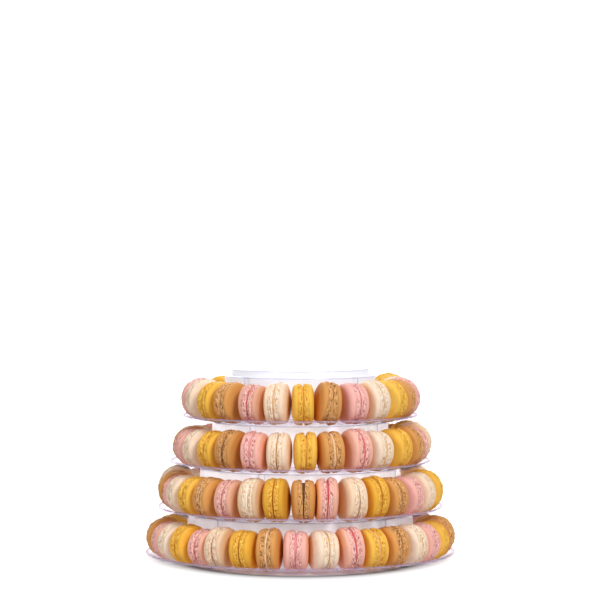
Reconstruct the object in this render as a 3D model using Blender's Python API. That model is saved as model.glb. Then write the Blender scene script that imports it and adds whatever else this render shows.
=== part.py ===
"""A macaron tower: four stacked clear trays, each carrying a ring of macarons that stand on edge.

Units are metres, +Z is up, and the origin is on the tower's axis at the surface it stands on.
An angle round the tower is measured from the front (-Y) towards the right (+X).
Each tray is one thin turned shell: a hollow column closed by a plug, a trough for the macarons
and a rim.  The tray above stands on the shoulder and the plug of the tray below.  Neighbouring
macarons lean on each other in twos and threes, so each such group is one solid.
"""
import math
import random

import bmesh
import bpy
from mathutils import Matrix, Vector

# ---------------------------------------------------------------- driving dimensions
TIER_COUNT = 4
TIER_PITCH = 0.0485             # from one rim to the next rim above
BOTTOM_RING_RADIUS = 0.1443     # from the axis to the macarons' centres, bottom tier
RING_STEP = 0.0131              # each tier above is smaller by this much in radius
COUNTS = (35, 32, 28, 25)       # macarons on each tier, bottom first
BOTTOM_GROUPS = 15              # groups of touching macarons on the bottom tier
FIT_GAP = 0.0003                # left between pieces that touch

# Tray section.  Radii are measured from the ring of the macarons' centres, heights from the rim.
SHEET = 0.0010                  # thickness of the clear sheet
FLOOR_DEPTH = 0.0060            # the trough's floor lies this far below the rim
PLUG_IN = 0.0185
COLUMN_IN = 0.0243              # column at its shoulder
FOOT_IN = 0.0224                # column where it runs into the trough
FOOT_HEIGHT = 0.0070
FLOOR_IN = 0.0125
FLOOR_OUT = 0.0140
WALL_OUT = 0.0172
RIM_OUT = 0.0207
LIP_DROP = 0.0020
PLUG_DRAFT = 0.0004
TRAY_SIDES = 30

# Macarons
MEAN_RADIUS = 0.0216
MACARON_SIDES = 8
SIDE_SWELL = 1.06               # the flat-sided disc has about the area of the round one
SMALLEST_DIAMETER = 0.039       # digit 0 in the size strings
SMALLEST_THICKNESS = 0.0215     # digit 0 in the thickness strings
SIZE_STEP = 0.001               # one digit
CROWN_PART = 0.58               # radius of the flat that stands for the dome's top
CROWN_CUT = 0.0008              # that flat lies this far below the round dome's top
FOOT_EDGE = 0.0036              # half the distance between the two shells' widest edges
WAIST_PART = 0.90               # radius at the filling
SETTLE_OUT = 0.8                # a bigger macaron sits further out by this part of its extra radius
BITE = 0.0009                   # how far two touching macarons press together
TURNED_BITE = 0.0024            # the same where one of them is turned, so that only its rim is near
SEAM_MERGE = 0.0001             # corners nearer than this where two macarons meet become one

# One entry a tier, bottom first: the angle of the macaron nearest the front, its place in the
# strings, and for each macaron seen from the front, left to right: its colour (pink, cream,
# yellow or brown), its diameter, its thickness, its lean and its turn.
FRONT_ROWS = (
    (-1.7, 9, "YBPCYPCYBPCPYBCPYBB", "0312304253363443233", "3333331635624333333",
     "...<.>.>..<>..>.<..", "..........l......r."),
    (1.4, 9, "CBPCYBPCYBPCYBPCY", "63033436656664456", "33332433443322333",
     "..>..<..>.<..>.<.", "..........s......"),
    (2.5, 8, "BBPCYBPCYBPCYBPCY", "10222433346345256", "33333333343433333",
     "...>.<...>.<.>...", "..............r.."),
    (1.5, 9, "YBYPCYBPCYBPCYBPCY", "402554424454555557", "333333343234233333",
     "...<..>...L..<.>..", "...............r.."),
)
BACK_CYCLE = "BPCY"
BACK_SIZES = "3456445"
BACK_THICKNESSES = "45444544"
SMALL_BESIDE = 2                # hidden macarons next to the seen ones that have the smallest size
LEANS = {".": 0.0, "<": -3.0, ">": 3.0, "L": -7.0}
TURNS = {".": 0.0, "s": -7.0, "r": -10.0, "l": 10.0}
LEAN_JITTER = 1.2
YAW_JITTER = 1.6
TURNED_YAW = 5.0

# Colours as 8-bit screen values, with roughness
FINISHES = {
    "P": ("pink_shell", (236, 172, 158), 0.55),
    "C": ("cream_shell", (240, 215, 184), 0.55),
    "Y": ("yellow_shell", (236, 176, 62), 0.5),
    "B": ("brown_shell", (214, 152, 92), 0.55),
    "tray": ("clear_tray", (238, 236, 240), 0.08),
}


def screen_to_linear(value):
    part = value / 255.0
    if part <= 0.04045:
        return part / 12.92
    return ((part + 0.055) / 1.055) ** 2.4


def make_material(key):
    name, screen_colour, roughness = FINISHES[key]
    material = bpy.data.materials.new(name)
    material.use_nodes = True
    shader = material.node_tree.nodes["Principled BSDF"]
    linear = [screen_to_linear(value) for value in screen_colour]
    shader.inputs["Base Color"].default_value = (*linear, 1.0)
    shader.inputs["Roughness"].default_value = roughness
    shader.inputs["Metallic"].default_value = 0.0
    if key == "tray":
        shader.inputs["Transmission Weight"].default_value = 0.9
        shader.inputs["IOR"].default_value = 1.45
    return material


def turned_mesh(name, rings, sides):
    """A solid of revolution about Z, closed by a flat face inside its first and its last ring.

    rings are (radius, height) pairs.
    """
    shape = bmesh.new()
    turn = math.pi / sides
    loops = []
    for radius, height in rings:
        loop = []
        for side in range(sides):
            angle = turn + math.tau * side / sides
            loop.append(shape.verts.new((radius * math.cos(angle), radius * math.sin(angle), height)))
        loops.append(loop)
    shape.faces.new(loops[0])
    shape.faces.new(loops[-1][::-1])
    for side in range(sides):
        after = (side + 1) % sides
        for upper, lower in zip(loops, loops[1:]):
            shape.faces.new((upper[side], lower[side], lower[after], upper[after]))
    bmesh.ops.recalc_face_normals(shape, faces=shape.faces)
    mesh = bpy.data.meshes.new(name)
    shape.to_mesh(mesh)
    shape.free()
    return mesh


def add_object(name, mesh, material):
    mesh.materials.append(material)
    body = bpy.data.objects.new(name, mesh)
    bpy.context.scene.collection.objects.link(body)
    return body


# ---------------------------------------------------------------- trays
def flank_height(inward):
    """Height of the trough's inner flank, this far inside the ring of macarons."""
    slope = (FOOT_HEIGHT + FLOOR_DEPTH) / (FOOT_IN - FLOOR_IN)
    return -FLOOR_DEPTH + (inward - FLOOR_IN) * slope


def flank_depth():
    """The flank's thickness, measured straight down."""
    slope = (FOOT_HEIGHT + FLOOR_DEPTH) / (FOOT_IN - FLOOR_IN)
    return SHEET * math.hypot(1.0, slope)


def offset_chain(points, distance):
    """The chain of points moved to its right by the distance, with mitred corners."""
    moved = []
    for index, point in enumerate(points):
        normals = []
        if index > 0:
            normals.append(right_normal(points[index - 1], point))
        if index < len(points) - 1:
            normals.append(right_normal(point, points[index + 1]))
        mitre = sum(normals, Vector((0.0, 0.0))).normalized()
        reach = distance / mitre.dot(normals[0])
        moved.append((point[0] + mitre.x * reach, point[1] + mitre.y * reach))
    return moved


def right_normal(start, end):
    along = Vector((end[0] - start[0], end[1] - start[1])).normalized()
    return Vector((along.y, -along.x))


def tray_section(ring_radius, rim_height):
    """Section of one tray: up the plug, down the column, through the trough to the rim and back."""
    # The ring of the tray above is smaller by one step, and its flank and floor rest on this tray.
    plug_radius = ring_radius - RING_STEP - PLUG_IN
    plug_top = TIER_PITCH + flank_height(PLUG_IN) - flank_depth() - FIT_GAP
    shoulder = TIER_PITCH - FLOOR_DEPTH - SHEET - FIT_GAP
    top_side = [
        (plug_radius, plug_top),
        (plug_radius + PLUG_DRAFT, shoulder + 0.0010),
        (ring_radius - COLUMN_IN, shoulder),
        (ring_radius - FOOT_IN, FOOT_HEIGHT),
        (ring_radius - FLOOR_IN, -FLOOR_DEPTH),
        (ring_radius + FLOOR_OUT, -FLOOR_DEPTH),
        (ring_radius + WALL_OUT, 0.0),
        (ring_radius + RIM_OUT, 0.0),
    ]
    # The chain starts on the axis, so that the plug's flat top is set off straight down.
    underside = offset_chain([(0.0, plug_top)] + top_side, SHEET)[1:-1]
    lip = (ring_radius + RIM_OUT, -LIP_DROP)
    rings = top_side + [lip] + underside[::-1]
    return [(radius, height + rim_height) for radius, height in rings]


def add_tray(tier, material):
    ring_radius = BOTTOM_RING_RADIUS - tier * RING_STEP
    rim_height = FLOOR_DEPTH + SHEET + tier * TIER_PITCH
    name = f"tray_{tier + 1}"
    mesh = turned_mesh(name, tray_section(ring_radius, rim_height), TRAY_SIDES)
    tray = add_object(name, mesh, material)
    tray.data.shade_smooth()
    tray.data.set_sharp_from_angle(angle=math.radians(35.0))
    return tray


# ---------------------------------------------------------------- macarons
class Macaron:
    """One macaron: its looks, its size, its turn in its pocket and its angle round the tower."""

    def __init__(self, colour, size, thickness, lean, yaw, ring_radius):
        self.colour = colour
        self.radius = 0.5 * (SMALLEST_DIAMETER + size * SIZE_STEP)
        self.half = 0.5 * (SMALLEST_THICKNESS + thickness * SIZE_STEP)
        self.turn = Matrix.Rotation(yaw, 3, "Z") @ Matrix.Rotation(lean, 3, "X")
        self.lift = self.radius * math.cos(lean) + FOOT_EDGE * abs(math.sin(lean))
        self.out = ring_radius + SETTLE_OUT * (self.radius - MEAN_RADIUS)
        self.turned = abs(yaw) > math.radians(TURNED_YAW)
        self.angle = 0.0

    def rings(self):
        """(radius, distance along the macaron's own axis) from one shell's crown to the other's."""
        edge = self.radius * SIDE_SWELL
        crown = (edge * CROWN_PART, self.half - CROWN_CUT)
        half = [crown, (edge, FOOT_EDGE)]
        other = [(radius, -along) for radius, along in reversed(half)]
        return half + [(edge * WAIST_PART, 0.0)] + other

    def corners(self):
        """Its corners as turned in its pocket: X points outwards, Y along the ring, Z up."""
        points = []
        for radius, along in self.rings():
            for side in range(MACARON_SIDES):
                angle = math.tau * (side + 0.5) / MACARON_SIDES
                flat = Vector((radius * math.cos(angle), along, radius * math.sin(angle)))
                points.append(self.turn @ flat)
        return points

    def half_angles(self):
        """The angles it takes up round the tower behind and ahead of its own centre."""
        angles = [math.atan2(point.y, self.out + point.x) for point in self.corners()]
        return -min(angles), max(angles)


def ring_of_macarons(tier):
    """The macarons of one tier from the front towards the right and all the way round."""
    front_angle, nearest, colours, sizes, thicknesses, leans, turns = FRONT_ROWS[tier]
    count = COUNTS[tier]
    ring_radius = BOTTOM_RING_RADIUS - tier * RING_STEP
    draw = random.Random(100 + tier)
    seen = len(colours)
    macarons = []
    for place in range(count):
        index = (place + nearest) % count
        back = index - seen
        hidden = back >= 0
        beside = hidden and min(back, count - 1 - index) < SMALL_BESIDE
        colour = BACK_CYCLE[back % len(BACK_CYCLE)] if hidden else colours[index]
        size = BACK_SIZES[back % len(BACK_SIZES)] if hidden else sizes[index]
        size = 0 if beside else size
        thickness = BACK_THICKNESSES[back % len(BACK_THICKNESSES)] if hidden else thicknesses[index]
        lean = draw.choice((-2.0, 0.0, 2.0)) if hidden else LEANS[leans[index]]
        lean = math.radians(lean + draw.uniform(-LEAN_JITTER, LEAN_JITTER))
        yaw = 0.0 if hidden else TURNS[turns[index]]
        yaw = math.radians(yaw + draw.uniform(-YAW_JITTER, YAW_JITTER))
        macarons.append(Macaron(colour, int(size), int(thickness), lean, yaw, ring_radius))
    settle(macarons, group_sizes(tier, count), math.radians(front_angle), ring_radius)
    return macarons


def group_sizes(tier, count):
    """How many macarons each group on a tier has: twos, with the threes spread evenly."""
    groups = BOTTOM_GROUPS - tier
    ends = [round(count * (group + 1) / groups) for group in range(groups)]
    return [end - start for start, end in zip([0] + ends, ends)]


def settle(macarons, sizes, front_angle, ring_radius):
    """Turns each macaron round the tower until it presses on its neighbour in the group,

    and shares what is left of the circle as equal gaps between the groups.
    """
    lasts = set()
    total = 0
    for size in sizes:
        total += size
        lasts.add(total - 1)
    spans = []
    for index, macaron in enumerate(macarons):
        follower = macarons[(index + 1) % len(macarons)]
        span = macaron.half_angles()[1] + follower.half_angles()[0]
        if index not in lasts:
            turned = macaron.turned or follower.turned
            span -= (TURNED_BITE if turned else BITE) / ring_radius
        spans.append(span)
    gap = (math.tau - sum(spans)) / len(sizes)
    angle = front_angle
    for index, macaron in enumerate(macarons):
        macaron.angle = angle
        angle += spans[index]
        if index in lasts:
            angle += gap


def add_macaron(name, macaron, floor_height, materials):
    mesh = turned_mesh(name, macaron.rings(), MACARON_SIDES)
    body = add_object(name, mesh, materials[macaron.colour])
    # The disc's own axis, Z in its mesh, lies along the ring.
    upright = Matrix.Rotation(-math.pi / 2.0, 3, "X")
    around = Matrix.Rotation(macaron.angle - math.pi / 2.0, 3, "Z")
    place = around @ Vector((macaron.out, 0.0, 0.0))
    place.z = floor_height + FIT_GAP + macaron.lift
    spin = around @ macaron.turn @ upright
    body.matrix_world = Matrix.Translation(place) @ spin.to_4x4()
    return body


def fuse(bodies):
    """Joins touching bodies into the middle one with one Boolean union."""
    base = bodies[len(bodies) // 2]
    others = [body for body in bodies if body is not base]
    pressed = bpy.data.collections.new("pressed_on")
    for body in others:
        pressed.objects.link(body)
    union = base.modifiers.new("union", "BOOLEAN")
    union.operation = "UNION"
    union.solver = "EXACT"
    union.operand_type = "COLLECTION"
    union.collection = pressed
    union.material_mode = "TRANSFER"
    bpy.context.view_layer.update()
    graph = bpy.context.evaluated_depsgraph_get()
    joined = bpy.data.meshes.new_from_object(base.evaluated_get(graph))
    base.modifiers.clear()
    base.data = joined
    merge_corners(joined)
    for body in others:
        bpy.data.objects.remove(body)
    bpy.data.collections.remove(pressed)
    return base


def merge_corners(mesh):
    shape = bmesh.new()
    shape.from_mesh(mesh)
    bmesh.ops.remove_doubles(shape, verts=shape.verts, dist=SEAM_MERGE)
    shape.to_mesh(mesh)
    shape.free()


def add_tier(tier, materials):
    add_tray(tier, materials["tray"])
    macarons = ring_of_macarons(tier)
    floor_height = SHEET + tier * TIER_PITCH
    first = 0
    for number, size in enumerate(group_sizes(tier, len(macarons))):
        name = f"macarons_{tier + 1}_{number + 1:02d}"
        members = macarons[first:first + size]
        bodies = [add_macaron(f"{name}_part", member, floor_height, materials) for member in members]
        fuse(bodies).name = name
        first += size


def build():
    for body in list(bpy.data.objects):
        bpy.data.objects.remove(body)
    materials = {key: make_material(key) for key in FINISHES}
    for tier in range(TIER_COUNT):
        add_tier(tier, materials)


build()
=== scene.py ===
"""Looks of the macaron tower: four stacked clear trays and 120 macarons that stand on edge.

Units are metres, +Z is up and the tower's axis is the Z axis.  An angle round the tower is
measured from the front (-Y) towards the right (+X).  Every macaron gets the place, size and
turn that its solid has; the pieces here add the colours, the feet, the fillings and the finish.
"""
import math
import random

import bpy
import numpy as np
from mathutils import Matrix, Vector


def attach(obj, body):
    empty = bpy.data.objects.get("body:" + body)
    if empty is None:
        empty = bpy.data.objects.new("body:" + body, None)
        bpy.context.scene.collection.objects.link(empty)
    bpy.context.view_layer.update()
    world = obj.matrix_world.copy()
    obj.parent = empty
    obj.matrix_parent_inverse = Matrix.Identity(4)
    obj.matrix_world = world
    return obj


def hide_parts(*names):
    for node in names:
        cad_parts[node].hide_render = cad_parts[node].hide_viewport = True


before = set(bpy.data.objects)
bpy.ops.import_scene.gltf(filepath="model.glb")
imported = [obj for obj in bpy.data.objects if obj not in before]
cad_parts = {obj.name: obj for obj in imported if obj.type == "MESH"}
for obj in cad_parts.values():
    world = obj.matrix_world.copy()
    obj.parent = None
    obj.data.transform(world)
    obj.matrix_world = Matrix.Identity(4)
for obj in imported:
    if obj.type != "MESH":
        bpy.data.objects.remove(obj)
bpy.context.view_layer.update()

# -------- camera and frame
PICTURE_SIDE = 600     # pixels
HORIZON_ROW = 265.0    # pixel row
FOCAL_PIXELS = 2340.0  # focal length in pixels
CAMERA_DISTANCE = 2.5  # from the tower's axis
CAMERA_HEIGHT = 0.3112
CAMERA_SIDE = -0.0003  # to the right of the axis
CAMERA_CLIP = (0.05, 50.0)
SENSOR_WIDTH = 36.0    # mm

# -------- the tower, as its solids have it
TIER_COUNT = 4
TIER_PITCH = 0.0485
BOTTOM_RING_RADIUS = 0.1443  # of the circle on which its macarons stand
RING_STEP = 0.0131           # how much smaller the circle of the next tier up is
COUNTS = (35, 32, 28, 25)    # macarons on each tier, bottom first
BOTTOM_GROUPS = 15           # solids on the bottom tier; each tier above has one fewer
FIT_GAP = 0.0003             # between things that rest on each other

# A tray's section: distances inside and outside its ring's radius, and heights from its rim
SHEET = 0.0010        # thickness of the plastic
FLOOR_DEPTH = 0.0060  # of the trough's floor below the rim
PLUG_IN = 0.0185      # the plug's wall, inside the ring of the tray above
COLUMN_IN = 0.0243    # the column's top
FOOT_IN = 0.0224      # the column's lower end
FOOT_HEIGHT = 0.0070  # of the column's lower end above the rim
FLOOR_IN = 0.0125     # the inner edge of the trough's floor
FLOOR_OUT = 0.0140    # the outer edge of the trough's floor
WALL_OUT = 0.0172     # the top of the trough's wall
RIM_OUT = 0.0207      # the rim's edge
LIP_DROP = 0.0020     # from the rim to the end of its lip
PLUG_DRAFT = 0.0004   # how much wider the plug is at its foot

# A macaron's solid
MEAN_RADIUS = 0.0216
MACARON_SIDES = 8
SIDE_SWELL = 1.06     # radius of its corners, as a part of the macaron's
SMALLEST_DIAMETER = 0.039
SMALLEST_THICKNESS = 0.0215
SIZE_STEP = 0.001     # for each 1 in a diameter's or a thickness's digit
CROWN_PART = 0.58     # radius of its end faces, as a part of its widest rings'
CROWN_CUT = 0.0008    # its end faces lie this far inside the macaron's
FOOT_EDGE = 0.0036    # from its middle to its widest rings
WAIST_PART = 0.90     # radius of its middle ring, as a part of its widest rings'
SETTLE_OUT = 0.8      # how far out a bigger one moves, for each unit of extra radius
BITE = 0.0009         # how far two of one group reach into each other
TURNED_BITE = 0.0024  # the same beside one that is turned in its pocket

# One entry a tier, bottom first: the angle of the macaron nearest the front, its place in the
# strings, and for each macaron seen from the front, left to right: its colour (pink, cream,
# yellow or brown), its diameter, its thickness, its lean and its turn.
FRONT_ROWS = (
    (-1.7, 9, "YBPCYPCYBPCPYBCPYBB", "0312304253363443233", "3333331635624333333",
     "...<.>.>..<>..>.<..", "..........l......r."),
    (1.4, 9, "CBPCYBPCYBPCYBPCY", "63033436656664456", "33332433443322333",
     "..>..<..>.<..>.<.", "..........s......"),
    (2.5, 8, "BBPCYBPCYBPCYBPCY", "10222433346345256", "33333333343433333",
     "...>.<...>.<.>...", "..............r.."),
    (1.5, 9, "YBYPCYBPCYBPCYBPCY", "402554424454555557", "333333343234233333",
     "...<..>...L..<.>..", "...............r.."),
)
PLACES_SEED = 100
BACK_CYCLE = "BPCY"
BACK_SIZES = "3456445"
BACK_THICKNESSES = "45444544"
SMALL_BESIDE = 2  # hidden macarons beside the seen ones that are the smallest
# Leans and turns, and how far they stray, in degrees
BACK_LEANS = (-2.0, 0.0, 2.0)
LEANS = {".": 0.0, "<": -3.0, ">": 3.0, "L": -7.0}
TURNS = {".": 0.0, "s": -7.0, "r": -10.0, "l": 10.0}
LEAN_JITTER = 1.2
YAW_JITTER = 1.6
TURNED_YAW = 5.0  # beyond this one counts as turned

# -------- macaron details
FOOT_SEGMENTS = 96             # round the foot, whose surface is rough
DOME_SEGMENTS = 48             # round the smooth dome
FILLING_SEGMENTS = 32
FOOT_DEPTH = 0.0052            # of one shell's rough foot, measured along the macaron's axis
FOOT_STEPS = 10
FOOT_ROUND = 0.0013            # how far its face turns in at the filling
FOOT_ROUND_PART = 0.30         # the part of its depth over which it turns in
INNER_PART = 0.72              # radius of the ring on a shell's inner face, as a part of its own
ROUGH_PART = 0.8               # beyond this part of its radius the foot's rings are rough
DOME_BACK = 0.0006             # how far the dome's edge lies inside the foot's outline
CREASE_DEPTH = 0.0004          # of the crease under the dome's edge, below that edge
CREASE_PLACE = 0.93            # where it lies across the foot, from the filling to the dome
CREASE_WIDTH = 0.09
DOME_CUT = 0.0002              # the dome stays this far inside the macaron's thickness
DOME_POWER = 2.95              # 2 is round; more is flatter on top
DOME_STEPS = 8
DOME_SPACING = 0.9             # below 1 its rings lie closer together towards its top
DOME_EDGE = 0.25               # how much the dome's edge counts as foot in the material
TOP_LEVEL = 2.0                # of the dome's top, where the filling is 0 and the dome's edge 1
WOBBLES = ((2, 0.010), (3, 0.007), (5, 0.004))  # waves round the outline and their size
WOBBLE_SPREAD = (0.5, 1.3)     # parts of that size
RUFFLE_WAVES = (9, 16, 27, 43)
RUFFLE_SLANT = 600.0           # radians a metre across the foot
RUFFLE_SCALE = 2.2
RUFFLE_SIZE = 0.00026
PITS = 92                      # pits round one foot
PIT_ROWS = (0.27, 0.70, 0.27, 0.50)  # where they lie across it, from the filling to the dome
PIT_SCATTER = 0.06             # how far they stray from these rows
PIT_WIDTHS = (0.0007, 0.0017)  # least and most
PIT_HEIGHTS = (0.00036, 0.00070)
PIT_DEPTH = 0.0013
EDGE_WAVE = 0.00018            # of the dome's edge
SWELL_SIZE = 0.00018           # of the dome's uneven top
SWELL_RATES = (160, 190)       # radians a metre
GRAIN_SHIFT = 9.0              # so that no two halves have the same grain
FILLING_CORE = 0.8             # radius of the rings on its faces, as a part of its own
FILLING_CORNER = 0.0003        # how far its corners lie inside its outline
FILLING_BULGE = 0.0002         # how far its middle lies outside it
FILLING_FLAT = 0.35            # how much of its thickness bulges
FILLING_GAP = 0.00002          # between it and each half
FILLING_WAVES = (3, 7, 13, 22)
FILLING_WAVE = 0.00016
COLOUR_NAMES = {"P": "pink", "C": "cream", "Y": "yellow", "B": "brown"}
FILLING_NAMES = {"r": "raspberry", "w": "cream", "a": "caramel", "k": "chocolate"}

# For each macaron of FRONT_ROWS: its filling, how its two halves gape, and its batch, whose
# colour lies between the two that SHELL_COLOURS has for a dome
FRONT_DETAILS = (
    ("awrwaraawrarwkwraww", "...........vov.....", "4679221147838387555"),
    ("awraawrwakraakrwa", ".........vv^.....", "36767400011212964"),
    ("kkrwakraawrwawrwa", ".....o..vo.......", "66773065753946735"),
    ("akaraawrwawraaarwa", "..........^.......", "565764705689994866"),
)
DETAILS_SEED = 500
BACK_BATCHES = "47269583"
BACK_FILLINGS = {"P": "rrr", "C": "waw", "Y": "aaw", "B": "kww"}
LAST_BATCH = 9
BATCH_JITTER = 0.04
# For each gape: its angle in degrees, and the least and most half width of the gap between the
# halves.  v is open above, ^ is open below and o is wide all round.
WEDGES = {".": 0.0, "v": 3.6, "^": -3.6, "o": 0.0}
SEAMS = {
    ".": (0.0007, 0.0010), "v": (0.0006, 0.0009),
    "^": (0.0006, 0.0009), "o": (0.0013, 0.0016),
}
WEDGE_JITTER = 1.2
SLIP = 0.0009  # how much higher one half may sit than the other
# For each filling, how far it lies inside the feet, least and most
RECESSES = {
    "r": (0.0008, 0.0017), "w": (0.0001, 0.0008),
    "a": (0.0014, 0.0024), "k": (0.0020, 0.0028),
}


# -------- places of the macarons
class Macaron:
    """One macaron: its looks, size, turn in its pocket and angle round the tower."""

    def __init__(self, colour, size, thickness, lean, yaw, ring_radius):
        self.colour = colour
        self.radius = 0.5 * (SMALLEST_DIAMETER + size * SIZE_STEP)
        self.half = 0.5 * (SMALLEST_THICKNESS + thickness * SIZE_STEP)
        self.turn = Matrix.Rotation(yaw, 3, "Z") @ Matrix.Rotation(lean, 3, "X")
        self.lift = self.radius * math.cos(lean) + FOOT_EDGE * abs(math.sin(lean))
        self.out = ring_radius + SETTLE_OUT * (self.radius - MEAN_RADIUS)
        self.turned = abs(yaw) > math.radians(TURNED_YAW)
        self.angle = 0.0
        self.behind, self.ahead = self.half_angles()

    def half_angles(self):
        """The angles its solid takes up round the tower behind and ahead of its own centre."""
        edge = self.radius * SIDE_SWELL
        half = [(edge * CROWN_PART, self.half - CROWN_CUT), (edge, FOOT_EDGE)]
        rings = half + [(edge * WAIST_PART, 0.0)] + [(radius, -along) for radius, along in half[::-1]]
        angles = []
        for radius, along in rings:
            for side in range(MACARON_SIDES):
                angle = math.tau * (side + 0.5) / MACARON_SIDES
                flat = Vector((radius * math.cos(angle), along, radius * math.sin(angle)))
                point = self.turn @ flat
                angles.append(math.atan2(point.y, self.out + point.x))
        return -min(angles), max(angles)


def whole_row(row, cycle, count):
    """The row of the seen macarons, followed by the cycle for the hidden ones."""
    hidden = count - len(row)
    return row + (cycle * hidden)[:hidden]


def ring_of_macarons(tier):
    """The macarons of one tier from the front towards the right and all the way round."""
    front_angle, front_place, colours, sizes, thicknesses, leans, turns = FRONT_ROWS[tier]
    fillings, gapes, batches = FRONT_DETAILS[tier]
    count = COUNTS[tier]
    ring_radius = BOTTOM_RING_RADIUS - tier * RING_STEP
    draw = random.Random(PLACES_SEED + tier)
    seen = len(colours)
    colours = whole_row(colours, BACK_CYCLE, count)
    sizes = whole_row(sizes, BACK_SIZES, count)
    thicknesses = whole_row(thicknesses, BACK_THICKNESSES, count)
    turns = whole_row(turns, ".", count)
    gapes = whole_row(gapes, ".", count)
    batches = whole_row(batches, BACK_BATCHES, count)
    macarons = []
    for place in range(count):
        index = (place + front_place) % count
        back = index - seen
        hidden = back >= 0
        beside = hidden and min(back, count - 1 - index) < SMALL_BESIDE
        colour = colours[index]
        size = 0 if beside else int(sizes[index])
        lean = draw.choice(BACK_LEANS) if hidden else LEANS[leans[index]]
        lean = math.radians(lean + draw.uniform(-LEAN_JITTER, LEAN_JITTER))
        yaw = math.radians(TURNS[turns[index]] + draw.uniform(-YAW_JITTER, YAW_JITTER))
        macaron = Macaron(colour, size, int(thicknesses[index]), lean, yaw, ring_radius)
        kinds = BACK_FILLINGS[colour]
        macaron.filling = kinds[back % len(kinds)] if hidden else fillings[index]
        macaron.gape = gapes[index]
        macaron.batch = int(batches[index])
        macarons.append(macaron)
    settle(macarons, group_sizes(tier, count), math.radians(front_angle), ring_radius)
    return macarons


def group_sizes(tier, count):
    """How many macarons each solid of the tier holds."""
    groups = BOTTOM_GROUPS - tier
    ends = [round(count * (group + 1) / groups) for group in range(groups)]
    return [end - start for start, end in zip([0] + ends, ends)]


def settle(macarons, sizes, front_angle, ring_radius):
    """Sets each macaron's angle, and the angles that bound it, as its group of solids has them."""
    lasts = set(np.cumsum(sizes) - 1)
    spaces = []
    total = 0.0
    for index, macaron in enumerate(macarons):
        follower = macarons[(index + 1) % len(macarons)]
        turned = macaron.turned or follower.turned
        space = 0.0 if index in lasts else -(TURNED_BITE if turned else BITE) / ring_radius
        spaces.append(space)
        total += macaron.ahead + follower.behind + space
    gap = (math.tau - total) / len(sizes)
    angle = front_angle
    for index, macaron in enumerate(macarons):
        follower = macarons[(index + 1) % len(macarons)]
        space = spaces[index] + (gap if index in lasts else 0.0)
        macaron.angle = angle
        angle += macaron.ahead + follower.behind + space
        macaron.ahead += space / 2
        follower.behind += space / 2


# -------- meshes from arrays
def linked(name, data):
    """A new object of the scene."""
    made = bpy.data.objects.new(name, data)
    bpy.context.scene.collection.objects.link(made)
    return made


class Surface:
    """Points, faces and named point values, gathered for one piece."""

    def __init__(self):
        self.points = []
        self.corners = []
        self.sizes = []
        self.values = {}
        self.count = 0

    def add(self, points, faces, values):
        """faces holds arrays of point numbers, one row a face."""
        for rows in faces:
            self.corners.append((rows + self.count).ravel())
            self.sizes.append(np.full(len(rows), rows.shape[1]))
        self.points.append(points)
        for name, value in values.items():
            self.values.setdefault(name, []).append(value)
        self.count += len(points)

    def build(self, name, material):
        """The piece, with its point values as attributes of its mesh."""
        points = np.concatenate(self.points).astype(np.float32)
        corners = np.concatenate(self.corners).astype(np.int32)
        sizes = np.concatenate(self.sizes).astype(np.int32)
        starts = np.concatenate([[0], np.cumsum(sizes)[:-1]]).astype(np.int32)
        mesh = bpy.data.meshes.new(name)
        mesh.vertices.add(len(points))
        mesh.vertices.foreach_set("co", points.ravel())
        mesh.loops.add(len(corners))
        mesh.loops.foreach_set("vertex_index", corners)
        mesh.polygons.add(len(sizes))
        mesh.polygons.foreach_set("loop_start", starts)
        mesh.update(calc_edges=True)
        for key, parts in self.values.items():
            data = np.concatenate(parts).astype(np.float32)
            kind, field = ("FLOAT", "value") if data.ndim == 1 else ("FLOAT_VECTOR", "vector")
            mesh.attributes.new(key, kind, "POINT").data.foreach_set(field, data.ravel())
        mesh.validate()
        mesh.shade_smooth()
        mesh.materials.append(material)
        return linked(name, mesh)


def strip(first, first_count, second, second_count):
    """Faces between two closed rings that start at these point numbers, as quads or as fans."""
    if first_count == second_count:
        here = np.arange(first_count)
        after = (here + 1) % first_count
        return [np.stack([first + here, first + after, second + after, second + here], axis=1)]
    if first_count < second_count:
        return [rows[:, ::-1] for rows in strip(second, second_count, first, first_count)]
    ratio = first_count // second_count
    middle = (ratio + 1) // 2
    faces = []
    for part in range(second_count):
        start = part * ratio
        left = second + part
        right = second + (part + 1) % second_count
        for step in range(ratio):
            near = first + start + step
            far = first + (start + step + 1) % first_count
            faces.append((near, far, left if step < middle else right))
        faces.append((left, first + (start + middle) % first_count, right))
    return [np.array(faces)]


def turns_of(counts):
    """The angle of each point of rings with these counts."""
    return np.concatenate([np.arange(count) * math.tau / count for count in counts])


def turned_faces(counts):
    """Faces of a closed turned body whose rings have these counts, with a point at each end."""
    starts = np.concatenate([[0], np.cumsum(counts)])
    faces = []
    for ring in range(len(counts) - 1):
        faces += strip(starts[ring], counts[ring], starts[ring + 1], counts[ring + 1])
    for ring, centre, turn in ((0, starts[-1], 1), (len(counts) - 1, starts[-1] + 1, -1)):
        here = np.arange(counts[ring])
        after = (here + 1) % counts[ring]
        middle = np.full(len(here), centre)
        rim = np.stack([starts[ring] + after, starts[ring] + here, middle], axis=1)
        faces.append(rim[:, ::turn])
    return faces


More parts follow.
